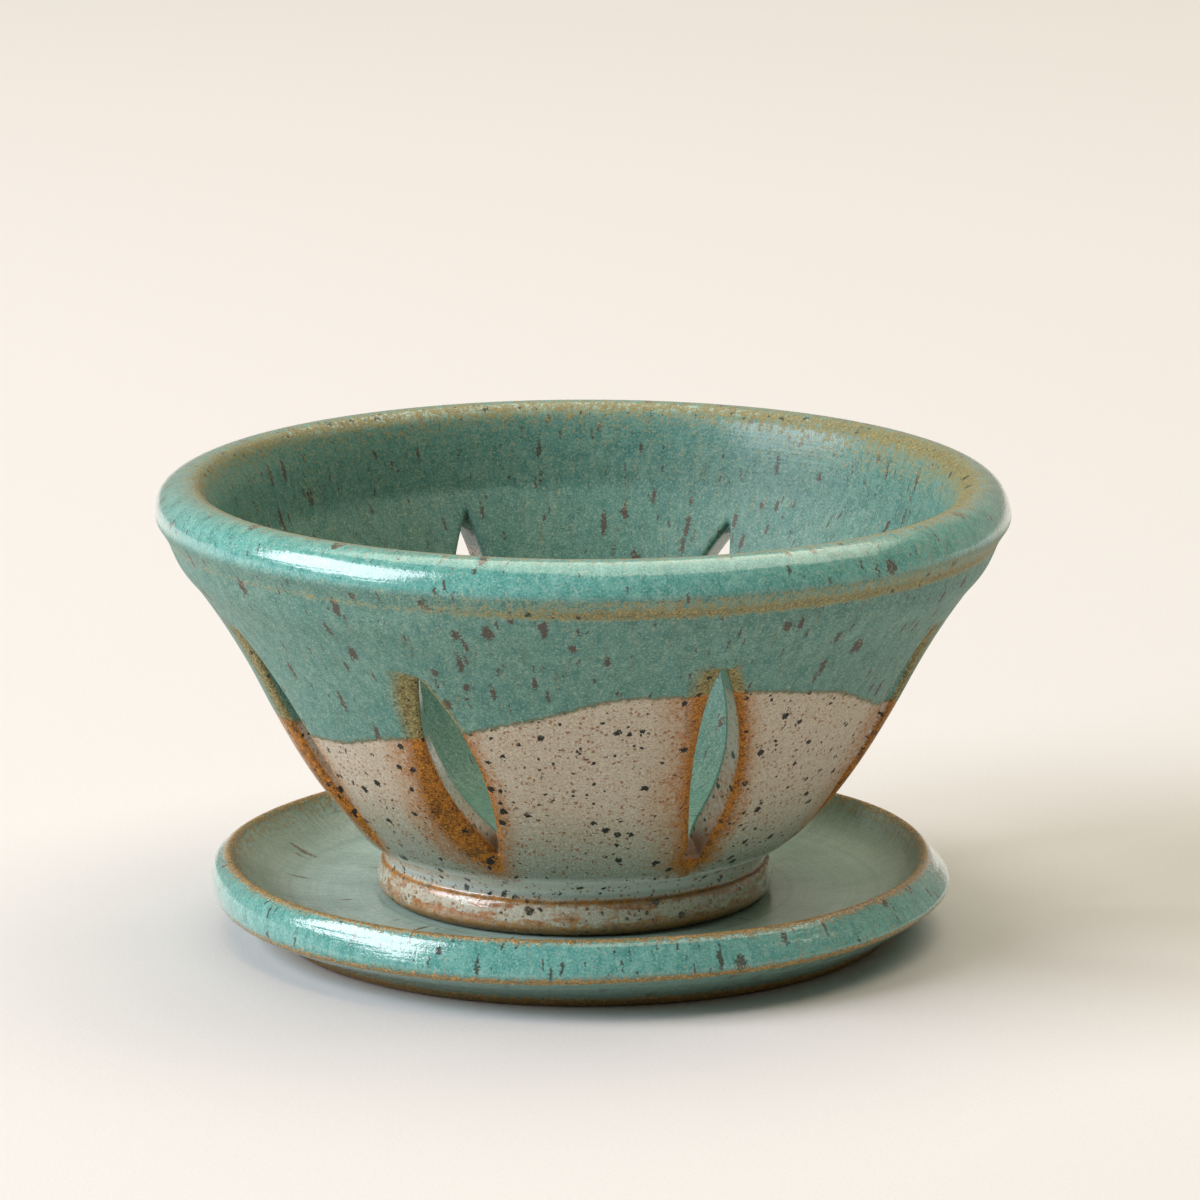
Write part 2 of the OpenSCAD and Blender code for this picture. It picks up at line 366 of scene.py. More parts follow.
# How deep a bevel lies at the lip: a step, and a slope along its width. Inside, the edge is only rounded
BEVEL_STEP, BEVEL_SLOPE = 0.3, 0.16
INNER_BEVEL = 0.8
INNER_SINK = (0.35, 0.06, 0.0)
COLLAR = 57.1

# The shave attribute: its value far from a slot and on the inside, and how much faster it grows on the right
FAR_FROM_CUT = 9.0
INSIDE_CLAY = 2.0
CLEAN_SIDE = 2.2

LOWEST_WALL, LOW_ROW, HIGH_ROW = WALL_HEIGHTS[0], WALL_HEIGHTS[LOW_TIP], WALL_HEIGHTS[HIGH_TIP]


def column_place(column):
    """Which slot a column belongs to, on which side of it (-1 left, 1 right), and how many columns away."""
    slot, step = divmod(column, 2 * SIDE_COLUMNS)
    if step == 0:
        return slot, -1, 0
    if step <= SIDE_COLUMNS:
        return slot, 1, step - 1
    return (slot + 1) % SLOTS, -1, 2 * SIDE_COLUMNS - step


def half_gap(slot, side):
    """Half of the angle between a slot and its neighbour on one side."""
    near = slots[(slot + side) % SLOTS]["turn"]
    return math.radians(((near - slots[slot]["turn"]) * side) % 360) / 2


shave = bowl.verts.layers.float.new("shave")
lip_of = bowl.verts.layers.int.new("lip")
for point in bowl.verts:
    row = rows[point[row_of]]
    point[shave] = FAR_FROM_CUT
    if row["r"] == 0:
        continue
    column = round(math.atan2(point.co.x, -point.co.y) / math.tau * COLUMNS) % COLUMNS
    number, side, step = column_place(column)
    slot = slots[number]
    length = slot_length(slot)
    room_angle = half_gap(number, side)
    nearness = 1 - ease(step, 3, 9)

    # Height of the row here: the rows stretch so that their tip rows meet the tips of this slot
    height = WALL_HEIGHTS[row["wall"]] if row["wall"] is not None else row["z"]
    low_shift, high_shift = slot["low"] - LOW_ROW, slot["top"] - HIGH_ROW
    share = (height - LOW_ROW) / (HIGH_ROW - LOW_ROW)
    shift = low_shift + (high_shift - low_shift) * min(max(share, 0.0), 1.0)
    shift *= ease(height, LOWEST_WALL, LOW_ROW) * (1 - ease(height, HIGH_ROW, COLLAR)) * nearness
    height += shift
    t = (height - slot["low"]) / (slot["top"] - slot["low"])
    below, above = max(-t, 0.0) * length, max(t - 1, 0.0) * length
    strength = 1 - ease(below + above, 0.0, RELAX) if row["wall"] is not None else 0.0

    # Distance of the column from the middle of the slot, in mm: lip, middle of the bevel, its edge, a
    # support, and then the rest. Below the low tip the two bevels run out into one point
    lip, bevel = half_width(slot, t), bevel_width(slot, side, t)
    if row["inside"]:
        bevel = INNER_BEVEL
    left_over = max(0.0, 1 - below / RUN_OUT)
    lip = TIP + (lip - TIP) * max(0.0, 1 - below / LIP_RUN_OUT)
    bevel *= left_over
    steps = [lip, lip + EDGE + bevel / 2, lip + 2 * EDGE + bevel, lip + bevel + SUPPORT]
    depth = WALL if row["inside"] else 0.0
    radius = wall_point(height, depth)[0] if row["wall"] is not None else row["r"]
    even = room_angle * (step + 0.5) / SIDE_COLUMNS
    if step < 4:
        opened = steps[step] / radius
    else:
        opened = steps[3] / radius
        opened += (room_angle - opened) * ((step - 3) / (SIDE_COLUMNS - 3.5)) ** 1.1
    offset = even + (opened - even) * strength
    lean = -LEAN * length * (min(max(t, -0.1), 1.1) - 0.5) / radius
    bow = slot["bow"] * 4 * max(t * (1 - t), 0.0) / radius * nearness
    angle = math.radians(slot["turn"]) + lean + bow + side * offset
    if row["inside"]:
        angle += slot["tilt"] / radius * strength * nearness

    # Depth under the skin: the bevel slopes down to the lip, and fades out past the tips
    place = Vector((row["r"], row["z"]))
    if row["wall"] is not None:
        drop = BEVEL_STEP * left_over + BEVEL_SLOPE * bevel
        sink = [drop, 0.55 * drop, 0.03][step] if step < 3 else 0.0
        sink *= max(0.0, 1 - above / FADE_OUT)
        if row["inside"]:
            sink = WALL - INNER_SINK[step] * max(0.0, 1 - below - above) if step < 3 else WALL
        place = wall_point(height, sink)

        # Distance outside the shaved clay in mm, below zero on it. At the top it ends in two round ears.
        # To the right it is counted more than twice, because the clay there stayed cleaner
        ear = slot["ears"][0 if side < 0 else 1]
        across = offset * radius
        outside = max(across - lip - EDGE - bevel, below - RUN_OUT)
        if above > 0:
            outside = max(outside, 1.1 * above - across, 1.4 * (above - ear))
        if side > 0 and outside > 0:
            outside *= CLEAN_SIDE
        point[shave] = min(outside, FAR_FROM_CUT) if not row["inside"] else INSIDE_CLAY
        point[lip_of] = int(step == 0 and LOW_TIP <= row["wall"] <= HIGH_TIP)
    point.co = Vector((place[0] * math.sin(angle), -place[0] * math.cos(angle), place[1])) * MM
print("columns laid out:", COLUMNS)

# %% [markdown]
# ## Opening the slots
# The quads between the two lips of each slot are deleted on the outer and on the inner skin. That leaves
# two matching loops of edges for each slot, and bridging them makes the cut face through the thickness of
# the wall. Three more loops across the cut keep its edges from going soft under the subdivision.

# %% Cut and bridge
def lip_slot(points):
    """The slot whose lips, tips included, hold all of these vertices, or None."""
    found = set()
    for point in points:
        if not point[lip_of]:
            return None
        angle = math.degrees(math.atan2(point.co.x, -point.co.y)) % 360
        found.add(min(range(SLOTS), key=lambda k: abs((angle - slots[k]["turn"] + 180) % 360 - 180)))
    return found.pop() if len(found) == 1 else None


openings = [face for face in bowl.faces if lip_slot(face.verts) is not None]
quads = len(openings)
bmesh.ops.delete(bowl, geom=openings, context="FACES")

CUT_FACE = 4.0
cut = bowl.verts.layers.float.new("cut")
cut_points = 0
for number in range(SLOTS):
    loops = [edge for edge in bowl.edges if edge.is_boundary and lip_slot(edge.verts) == number]
    made = bmesh.ops.bridge_loops(bowl, edges=loops)
    crossing = [edge for edge in made["edges"] if len({rows[v[row_of]]["inside"] for v in edge.verts}) == 2]
    split = bmesh.ops.subdivide_edges(bowl, edges=crossing, cuts=3, use_grid_fill=True)
    for item in split["geom_inner"]:
        if isinstance(item, bmesh.types.BMVert):
            item[shave], item[cut], item[lip_of] = CUT_FACE, 1.0, 0
            cut_points += 1
print("slot openings:", quads // 2, "quads on each skin, cut vertices:", cut_points)

# %% [markdown]
# ## What the glaze needs to know
# The glaze was dipped, so its border is a line around the wall and not a part of the mesh. Four numbers are
# kept with every vertex: how far it lies above that line, how thin the glaze is there, how thickly it
# pooled, and how far along the section it lies, which is the way the melted glaze ran. Shaders read them as
# attributes.

# %% Glaze attributes of the bowl
def dip_line(angle):
    """Height in mm of the border between the turquoise glaze above and the pale glaze below."""
    turn = angle - math.radians(19)
    wave = 0.35 * math.sin(9 * angle + 1.0) + 0.2 * math.sin(17 * angle)
    return 41.6 + 6.4 * math.cos(2 * turn) + 0.9 * math.cos(4 * turn) + wave


def band_bareness(angle, least):
    """How bare the band under the rim is: sandy to the right of the front, at its least on the left."""
    return least + (1 - least) * ease(math.cos(angle - math.radians(52)), 0.1, 0.75)


BAND_LOW, BAND_MIDDLE, BAND_TOP = 62.0, 63.3, 65.6
DIPPED_WHOLLY = 20.0
dip = bowl.verts.layers.float.new("dip")
thin = bowl.verts.layers.float.new("thin")
pool = bowl.verts.layers.float.new("pool")
along = bowl.verts.layers.float.new("along")
for point in bowl.verts:
    row = rows[point[row_of]]
    angle = math.atan2(point.co.x, -point.co.y)
    height = point.co.z / MM
    inner = row["inside"] and not point[cut]
    point[dip] = DIPPED_WHOLLY if inner else height - dip_line(angle)
    point[thin] = row["thin"]
    if not inner and BAND_LOW < height < BAND_TOP:
        point[thin] *= band_bareness(angle, 0.45 if height < BAND_MIDDLE else 0.2)
    if height > BAND_TOP:
        point[thin] += 0.18 * ease(math.cos(angle - math.radians(88)), 0.3, 0.95)
    point[pool] = ease(height, 65.2, 66.6) if not inner else 0.3 * ease(height, 60, 70)
    point[along] = bowl_lengths[point[row_of]]
print("attributes:", [layer.name for layer in bowl.verts.layers.float.values()])

# %% [markdown]
# ## The hand of the maker
# Nothing thrown by hand is quite round. The rim wavers by a fraction of a millimetre and is fullest on the
# left, the belly is a little fuller just above the foot, and the foot was trimmed a millimetre off centre.
# All are small moves of the finished skin. Normals are recalculated once the skin is closed.

# %% Finish the bowl
for point in bowl.verts:
    x, y, z = point.co / MM
    angle = math.atan2(x, -y)
    wavering = 0.0016 * math.sin(2 * angle + 0.6) + 0.001 * math.sin(5 * angle + 1.9)
    fuller_belly = 0.011 * ease(z, 13, 18) * (1 - ease(z, 22, 36))
    fuller_rim = 0.007 * ease(-math.sin(angle), 0.5, 1.0) * ease(z, 66, 68) * (1 - ease(z, 69.3, 70.7))
    swing = 1 + ease(z, 16, 60) * wavering + fuller_belly + fuller_rim
    lift = 0.16 * math.sin(2 * angle + 2.0) * ease(z, 30, 66)
    off_centre = -1.3 + 1.05 * ease(z, 12.5, 20) + 0.25 * ease(z, 22, 44)
    point.co = Vector((x * swing + off_centre, y * swing, z + lift)) * MM
bmesh.ops.recalc_face_normals(bowl, faces=bowl.faces[:])


def finish_piece(mesh, name, levels):
    """Turns a bmesh into a smooth piece with one subdivision modifier."""
    for face in mesh.faces:
        face.smooth = True
    data = bpy.data.meshes.new(name)
    mesh.to_mesh(data)
    mesh.free()
    piece = bpy.data.objects.new(name, data)
    bpy.context.scene.collection.objects.link(piece)
    rounding = piece.modifiers.new("soft_clay", "SUBSURF")
    rounding.levels = levels
    rounding.render_levels = levels
    print(name, "faces before rounding:", len(data.polygons))
    return piece


open_edges = sum(edge.is_boundary for edge in bowl.edges)
print("open edges of the bowl:", open_edges)
thrown_bowl = finish_piece(bowl, "thrown_bowl", 1)
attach(thrown_bowl, "bowl")
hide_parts("colander_bowl")

# %% [markdown]
# ## The drip saucer
# The saucer is a second turned shape: a flat base, a slanting underside, a swelling rim between two edges,
# and a hollow that runs down to the floor. Its lip was pressed a little off centre, and the lower edge of
# the rim hangs lower on the left than on the right.

# %% Saucer
SAUCER_ROWS = [
    (0.0, 0.0, 1.0), (20.0, 0.0, 1.0), (38.0, 0.0, 1.0), (45.6, 0.0, 1.0), (46.6, 0.05, 1.0),
    (47.1, 0.3, 1.0), (47.35, 0.8, 1.0), (47.6, 1.25, 0.9), (48.2, 1.7, 0.5), (49.2, 2.3, 0.1),
    (50.9, 3.3, 0.0), (52.8, 4.4, 0.0), (54.4, 5.35, 0.0), (55.5, 6.0, 0.2), (56.05, 6.4, 0.75),
    (56.4, 6.7, 1.05), (56.65, 7.1, 0.55), (56.84, 7.7, 0.1), (56.58, 8.45, 0.0), (56.12, 9.35, 0.0),
    (55.62, 10.25, 0.0), (55.12, 11.1, 0.0), (54.65, 11.78, 0.3), (54.1, 12.25, 0.9), (53.65, 12.36, 0.9),
    (53.15, 12.18, 0.68), (52.65, 11.65, 0.5), (51.95, 10.75, 0.36), (51.0, 9.65, 0.2), (49.7, 8.5, 0.1),
    (48.2, 7.5, 0.05), (46.2, 6.65, 0.0), (44.2, 6.2, 0.0), (42.0, 6.0, 0.0), (38.0, 5.97, 0.0),
    (30.0, 5.97, 0.0), (20.0, 5.97, 0.0), (9.0, 5.97, 0.0), (0.0, 5.97, 0.0),
]
LIP_ROW = SAUCER_ROWS.index((53.65, 12.36, 0.9))
SAUCER_COLUMNS = 144
saucer_section = [(radius, height) for radius, height, clay in SAUCER_ROWS]
saucer_lengths = lengths_along(saucer_section)
saucer, row_of = throw(saucer_section, SAUCER_COLUMNS)
print("spun saucer:", len(saucer.verts), "vertices, section in mm:", round(saucer_lengths[-1], 1))

# %% Saucer glaze attributes, and the hand of the maker
RIM_LOW = 7.0
thin = saucer.verts.layers.float.new("thin")
pool = saucer.verts.layers.float.new("pool")
along = saucer.verts.layers.float.new("along")
for point in saucer.verts:
    number = point[row_of]
    radius, height, clay = SAUCER_ROWS[number]
    under = number < LIP_ROW
    point[along] = saucer_lengths[number]
    point[pool] = ease(height, 6.4, 8.0) if under else 0.0
    x, y, z = point.co / MM
    angle = math.atan2(x, -y)
    loose = ease(radius, 47.6, 55)
    sag = loose * (-0.15 * math.cos(angle) + 0.1 * math.sin(4 * angle + 1.0) + 0.08 * math.sin(7 * angle))
    if under:
        sag += (0.8 * x / 56 - 0.15) * ease(z, 1.7, 6.4) * (1 - ease(z, 6.6, 10.0))
    swing = 1 + loose * (0.0012 * math.sin(2 * angle + 1.0) + 0.001 * math.sin(6 * angle))
    point[thin] = clay
    if under and z > RIM_LOW:
        swing += 0.016 * ease(-math.sin(angle), 0.6, 0.98) * ease(z, RIM_LOW, 9.5) * (1 - ease(z, 10.8, 12.2))
        point[thin] += 0.14 * ease(math.cos(angle - math.radians(75)), 0.4, 0.95)
    off_centre = -0.25 * loose - 0.8 * ease(z, 8, 12)
    point.co = Vector((x * swing + off_centre, y * swing, z + sag)) * MM
bmesh.ops.recalc_face_normals(saucer, faces=saucer.faces[:])
drip_saucer = finish_piece(saucer, "drip_saucer", 1)
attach(drip_saucer, "saucer")
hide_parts("saucer")

# %% [markdown]
# ## Shared ground of the glazes
# Both pieces carry the same turquoise glaze, so what it needs is set up by one function: places on the
# piece in millimetres, coordinates that follow the run of the melted glaze, and noise at several sizes.
# Glaze runs down the slope, so the flow coordinates count the way around in full and the way along the
# section only in part, and every pattern laid on them comes out as a streak. Every glaze below is built
# from specks and coats of colour, and then fired: that gives it relief and gloss.

# %% Ground of a glazed piece
MEAN_RADIUS = 48.0


def glaze_ground(name):
    """Starts a glaze material and gathers the sockets that its layers are made from."""
    material, tree, shader = new_material(name)
    metres = add(tree, "TexCoord").outputs["Object"]
    place = add(tree, "VectorMath", {0: metres, "Scale": 1 / MM}, operation="SCALE")
    outward = add(tree, "VectorMath", {
        0: add(tree, "VectorMath", {0: place, 1: (1, 1, 0)}, operation="MULTIPLY"),
    }, operation="NORMALIZE")
    ragged = add(tree, "TexNoise", {"Vector": place, "Scale": 1 / 0.9, "Detail": 3.0, "Roughness": 0.6})
    along = add(tree, "Attribute", attribute_name="along").outputs["Fac"]
    ground = dict(
        material=material, tree=tree, shader=shader, place=place, along=along, ragged=ragged,
        thin=add(tree, "Attribute", attribute_name="thin").outputs["Fac"],
        pool=add(tree, "Attribute", attribute_name="pool").outputs["Fac"],
        crumb=add(tree, "TexNoise", {"Vector": place, "Scale": 1 / 0.34, "Detail": 2.0, "Roughness": 0.7}),
        grain=add(tree, "TexNoise", {"Vector": place, "Scale": 1 / 0.8, "Detail": 3.0, "Roughness": 0.65}),
        cloud=add(tree, "TexNoise", {"Vector": place, "Scale": 1 / 9, "Detail": 3.0}),
        warp=add(tree, "VectorMath", {0: ragged.outputs["Color"], "Scale": 0.9}, operation="SCALE"),
    )
    for key, stretch in (("dabs", 0.55), ("flow", 0.25), ("runs", 0.1)):
        down = add(tree, "CombineXYZ", {"Z": add(tree, "Math", {0: along, 1: stretch}, operation="MULTIPLY")})
        around = add(tree, "VectorMath", {0: outward, "Scale": MEAN_RADIUS}, operation="SCALE")
        ground[key] = add(tree, "VectorMath", {0: around, 1: down}, operation="ADD")
    ground["strand"] = add(tree, "TexNoise", {"Vector": ground["runs"], "Scale": 1 / 0.6, "Detail": 2.0})
    rough = add(tree, "Math", {0: ground["strand"], 1: 0.4, 2: ground["grain"]}, operation="MULTIPLY_ADD")
    rough = add(tree, "Math", {0: rough, 1: ground["crumb"]}, operation="ADD")
    ground["crumbled"] = add(tree, "MapRange", {
        "Value": rough, "From Min": 0.6, "From Max": 1.8, "To Min": -1.0,
    })
    return ground


def specks(ground, where, spacing, luck_needed, largest, edge=0.1):
    """A mask of ragged specks: at most one in a cell of the spacing, of any size up to the largest, in mm."""
    tree = ground["tree"]
    warped = add(tree, "VectorMath", {0: where, 1: ground["warp"]}, operation="ADD")
    cell = add(tree, "TexVoronoi", {"Vector": warped, "Scale": 1 / spacing})
    luck = add(tree, "SeparateColor", {0: cell.outputs["Color"]}).outputs[0]
    radius = add(tree, "MapRange", {"Value": luck, "From Min": luck_needed, "To Max": largest / spacing})
    uneven = add(tree, "MapRange", {
        "Value": ground["crumb"], "From Min": 0.3, "From Max": 0.7, "To Min": 0.7, "To Max": 1.3,
    })
    reach = add(tree, "Math", {0: cell.outputs["Distance"], 1: uneven}, operation="MULTIPLY")
    inside = add(tree, "Math", {0: radius, 1: reach}, operation="SUBTRACT")
    return add(tree, "MapRange", {"Value": inside, "From Max": edge})


def coat(tree, under, colour, where, low=0.0, high=1.0, most=1.0):
    """Lays a coat of colour over another, from none to the most of it while a value goes from low to high."""
    cover = add(tree, "MapRange", {"Value": where, "From Min": low, "From Max": high, "To Max": most})
    return add(tree, "Mix", {0: cover, 6: under, 7: colour}, data_type="RGBA")


def fire(ground, piece, layers, body_ior):
    """Gives a glaze the relief of its layers and a glassy coat, and lays it on its piece."""
    tree, shader = ground["tree"], ground["shader"]
    relief = add(tree, "Bump", {"Height": layers, "Strength": 0.5, "Distance": 0.2 * MM})
    for socket in ("Normal", "Coat Normal"):
        tree.links.new(relief.outputs[0], shader.inputs[socket])
    shader.inputs["IOR"].default_value = body_ior
    shader.inputs["Coat IOR"].default_value = 1.6
    shader.inputs["Coat Roughness"].default_value = 0.07
    piece.data.materials.append(ground["material"])
    print(piece.name, "glaze nodes:", len(tree.nodes))


# %% [markdown]
# ## The turquoise glaze
# Copper and titanium give this glaze its turquoise, and small crystals break it into a sandy mottle. Where
# it pooled thick, on the rims, it is deep and saturated. On the walls it lies thinner and looks greyer.
# Iron from the clay bleeds through in brown dashes and strokes. The coats go over one another from the
# broadest to the finest.

# %% Turquoise glaze
def turquoise(ground, stroke_colour):
    """Colour of the mottled turquoise glaze, with iron strokes of the given colour."""
    tree, pool, crumb = ground["tree"], ground["pool"], ground["crumb"]
    mottle = add(tree, "TexNoise", {
        "Vector": ground["dabs"], "Scale": 1 / 1.3, "Detail": 5.0, "Roughness": 0.72,
    })
    on_wall = coat(tree, "739c8f", "4a7e75", mottle, 0.36, 0.64)
    on_rim = coat(tree, "83c9be", "449d95", mottle, 0.36, 0.64)
    sea = coat(tree, on_wall, on_rim, pool)
    sea = coat(tree, sea, coat(tree, "498279", "57b0aa", pool), ground["cloud"], 0.62, 0.38, 0.35)
    sea = coat(tree, sea, coat(tree, "a8c3b0", "bde6de", pool), crumb, 0.53, 0.67, 0.5)
    sea = coat(tree, sea, coat(tree, "2f5d53", "26756f", pool), crumb, 0.43, 0.31, 0.65)
    sea = coat(tree, sea, coat(tree, "a9bfa0", "c9eee6", pool), ground["grain"], 0.62, 0.7, 0.5)
    wall_runs = add(tree, "Math", {0: ground["strand"], 1: pool}, operation="SUBTRACT")
    sea = coat(tree, sea, "66654c", wall_runs, 0.58, 0.76, 0.4)
    dashes = specks(ground, ground["flow"], 0.9, 0.35, 0.28, 0.12)
    strokes = specks(ground, ground["flow"], 1.8, 0.12, 0.56, 0.08)
    blots = specks(ground, ground["dabs"], 3.4, 0.4, 0.95, 0.06)
    iron = add(tree, "Math", {0: dashes, 1: strokes}, operation="MAXIMUM")
    iron = add(tree, "Math", {0: iron, 1: blots}, operation="MAXIMUM")
    return coat(tree, sea, stroke_colour, iron, most=0.86)


# %% [markdown]
# ## Glazed stoneware of the bowl
# Two glazes meet on the bowl: the turquoise one at the top, and a pale oatmeal one below that lets the iron
# specks of the clay through. Where either is thin the toasted clay shows, ochre on the slots and the foot,
# sandy under the rim. The tree mixes these layers in the order in which they lie on the pot: pale glaze,
# turquoise glaze, bare clay.

# %% Bowl glaze: pale glaze, smooth and bluish where it pooled in the cove and on the cut faces, with a painted highlight in the cove and painted shade deep in the slots
# Fired stoneware with an ash-like glaze: satin on the walls, glassy where it is thick, with iron specks in it
IRON = "1e1a14"
ground = glaze_ground("turquoise_and_pale_glaze_on_speckled_stoneware")
tree, shader, place = ground["tree"], ground["shader"], ground["place"]
crumb, grain, cloud = ground["crumb"], ground["grain"], ground["cloud"]
shave = add(tree, "Attribute", attribute_name="shave").outputs["Fac"]
cut = add(tree, "Attribute", attribute_name="cut").outputs["Fac"]
dip = add(tree, "Attribute", attribute_name="dip").outputs["Fac"]
height = add(tree, "SeparateXYZ", {0: place}).outputs["Z"]

COVE_HEIGHT = 14.0
level = add(tree, "VectorMath", {0: place, 1: (0.03, 0.03, 1.0)}, operation="MULTIPLY")
rings = add(tree, "TexNoise", {"Vector": level, "Scale": 1 / 0.7, "Detail": 2.0})
# Oatmeal with faint throwing rings, cooler low down, whiter on the foot,
# and broken by fine light and dark grains
pale = coat(tree, "bfb096", "d3cab8", cloud)
pale = coat(tree, pale, "93836a", rings, 0.35, 0.65, 0.15)
pale = coat(tree, pale, "8a9f94", height, 29.0, 14.5)
pale = coat(tree, pale, "e2decb", height, 12.2, 11.8)
pale = coat(tree, pale, "e6e0d4", crumb, 0.52, 0.66, 0.6)
pale = coat(tree, pale, "8a7558", crumb, 0.46, 0.33, 0.6)
pale = coat(tree, pale, "9a8a70", grain, 0.46, 0.34, 0.35)
# White where the glaze pooled thick in the cove, and painted whiter still as the highlight that the glossy
# cove catches; bluish grey on the cut faces, and painted shade at their low ends, deep in the slots
cove = add(tree, "Math", {0: height, 1: COVE_HEIGHT}, operation="SUBTRACT")
cove = add(tree, "Math", {0: cove}, operation="ABSOLUTE")
pale = coat(tree, pale, "f0f6f2", cove, 2.4, 1.1, 0.95)
pale = coat(tree, pale, "bfbdb6", cut, most=0.8)
# Painted shade: the cut faces go dark grey toward the low tips of the slots, and lose their gloss there
slot_bottom_shade = add(tree, "MapRange", {"Value": height, "From Min": 25.0, "From Max": 21.0})
slot_bottom_shade = add(tree, "Math", {0: slot_bottom_shade, 1: cut}, operation="MULTIPLY")
pale = coat(tree, pale, "4c4a46", slot_bottom_shade, most=0.85)

# %% Bowl glaze: toasted freckles beside the slots, and iron specks all over
near_cut = add(tree, "MapRange", {"Value": shave, "From Min": 8.8, "From Max": 0.0})
warmth = add(tree, "Math", {0: near_cut, 1: cloud}, operation="MULTIPLY")
warmth = add(tree, "MapRange", {"Value": warmth, "From Min": 0.13, "From Max": 0.42})
blush = add(tree, "MapRange", {"Value": grain, "From Min": 0.32, "From Max": 0.6, "To Max": 0.9})
blush = add(tree, "Math", {0: warmth, 1: blush}, operation="MULTIPLY")
pale = coat(tree, pale, "a96e30", blush)
few = add(tree, "MapRange", {"Value": warmth, "To Min": 0.45, "To Max": 0.1})
pale = coat(tree, pale, "8f5722", specks(ground, place, 0.62, few, 0.36, 0.2), most=0.8)
iron = add(tree, "Math", {
    0: specks(ground, place, 1.0, 0.66, 0.36, 0.14), 1: specks(ground, place, 1.9, 0.48, 0.74, 0.08),
}, operation="MAXIMUM")
pale = coat(tree, pale, IRON, iron)

# %% Bowl glaze: clay that shows on the cuts, the foot and the edges
# Ochre below the dip line and sandy above it, with bright glints, dark pits and iron specks
ochre = coat(tree, "6f3d04", "cf8520", grain, 0.3, 0.7)
sand = coat(tree, "5c5429", "a0955c", grain, 0.3, 0.7)
blotch = add(tree, "TexNoise", {"Vector": place, "Scale": 1 / 2.6, "Detail": 5.0, "Roughness": 0.7})
ochre = coat(tree, ochre, "5a3a12", blotch, 0.5, 0.38, 0.75)
clay = coat(tree, ochre, sand, dip, -0.3, 0.3)
clay = coat(tree, clay, coat(tree, "dd9a3c", "bdb487", dip, -0.3, 0.3), crumb, 0.52, 0.66, 0.7)
clay = coat(tree, clay, "38220a", crumb, 0.45, 0.33, 0.8)
# Painted shade: the clay darkens to olive along the low edge of the foot, where it stands close to the saucer
clay = coat(tree, clay, "453c20", height, 8.0, 6.6, 0.75)
clay = coat(tree, clay, IRON, iron)

# Rust runs around the foot in streaks and is heaviest along its two edges
FOOT_MIDDLE = 9.9
waist = add(tree, "Math", {0: height, 1: FOOT_MIDDLE}, operation="SUBTRACT")
waist = add(tree, "Math", {0: waist}, operation="ABSOLUTE")
streaks = add(tree, "VectorMath", {0: place, 1: (0.4, 0.4, 1.0)}, operation="MULTIPLY")
streaks = add(tree, "TexNoise", {"Vector": streaks, "Scale": 1 / 1.6, "Detail": 5.0, "Roughness": 0.7})
streaks = add(tree, "Math", {0: waist, 1: 0.09, 2: streaks}, operation="MULTIPLY_ADD")
streaks = add(tree, "MapRange", {"Value": streaks, "From Min": 0.52, "From Max": 0.64, "To Max": 0.92})
on_foot = add(tree, "MapRange", {"Value": height, "From Min": 11.9, "From Max": 11.5})
streaks = add(tree, "Math", {0: streaks, 1: on_foot}, operation="MULTIPLY")
rust = coat(tree, "8a470c", "dc8a36", grain, 0.3, 0.7)
pale = coat(tree, pale, rust, streaks)
big_iron = specks(ground, place, 2.6, 0.42, 0.85, 0.1)
big_iron = add(tree, "Math", {0: big_iron, 1: on_foot}, operation="MULTIPLY")
pale = coat(tree, pale, IRON, add(tree, "Math", {0: iron, 1: big_iron}, operation="MAXIMUM"))

# %% Bowl glaze: how the layers meet
wander = add(tree, "MapRange", {"Value": ground["ragged"], "To Min": -0.8, "To Max": 0.8})
border = add(tree, "Math", {0: dip, 1: wander}, operation="ADD")
dipped = add(tree, "MapRange", {"Value": border, "From Min": -0.12, "From Max": 0.12})
glaze = coat(tree, pale, turquoise(ground, "4f3a32"), dipped)
glaze = coat(tree, glaze, "6d6540", add(tree, "Math", {0: border}, operation="ABSOLUTE"), 0.5, 0.12, 0.65)

worn = add(tree, "Math", {0: ground["thin"], 1: ground["crumbled"]}, operation="ADD")
glaze = coat(tree, glaze, "9aa384", worn, 0.2, 0.6, 0.6)
frayed = add(tree, "Math", {0: ground["crumbled"], 1: 0.8, 2: shave}, operation="MULTIPLY_ADD")
bare = add(tree, "Math", {
    0: add(tree, "MapRange", {"Value": worn, "From Min": 0.5, "From Max": 0.75, "To Max": 0.92}),
    1: add(tree, "MapRange", {"Value": frayed, "From Min": 1.1, "From Max": -0.7}),
}, operation="MAXIMUM")
finish = coat(tree, glaze, clay, bare)
tree.links.new(finish.outputs[2], shader.inputs["Base Color"])

# %% Bowl glaze: gloss and relief
glassy = add(tree, "MapRange", {"Value": height, "From Min": 16.5, "From Max": 13.0})
glassy = add(tree, "Math", {0: glassy, 1: ground["pool"]}, operation="MAXIMUM")
glassy = add(tree, "Math", {0: glassy, 1: cut}, operation="MAXIMUM")
glassy = add(tree, "Math", {0: glassy, 1: slot_bottom_shade}, operation="SUBTRACT")
glassy = add(tree, "Math", {0: glassy, 1: bare}, operation="SUBTRACT", use_clamp=True)
satin = add(tree, "Mix", {0: glassy, 2: 0.52, 3: 0.14})
tree.links.new(satin.outputs[0], shader.inputs["Roughness"])
tree.links.new(glassy.outputs[0], shader.inputs["Coat Weight"])
layers = add(tree, "Math", {0: rings, 1: 0.4, 2: dipped}, operation="MULTIPLY_ADD")
layers = add(tree, "Math", {0: bare, 1: -0.5, 2: layers}, operation="MULTIPLY_ADD")
coarse = add(tree, "MapRange", {"Value": bare, "To Min": 0.45, "To Max": 1.6})
layers = add(tree, "Math", {0: grain, 1: coarse, 2: layers}, operation="MULTIPLY_ADD")
fire(ground, thrown_bowl, layers, body_ior=1.45)

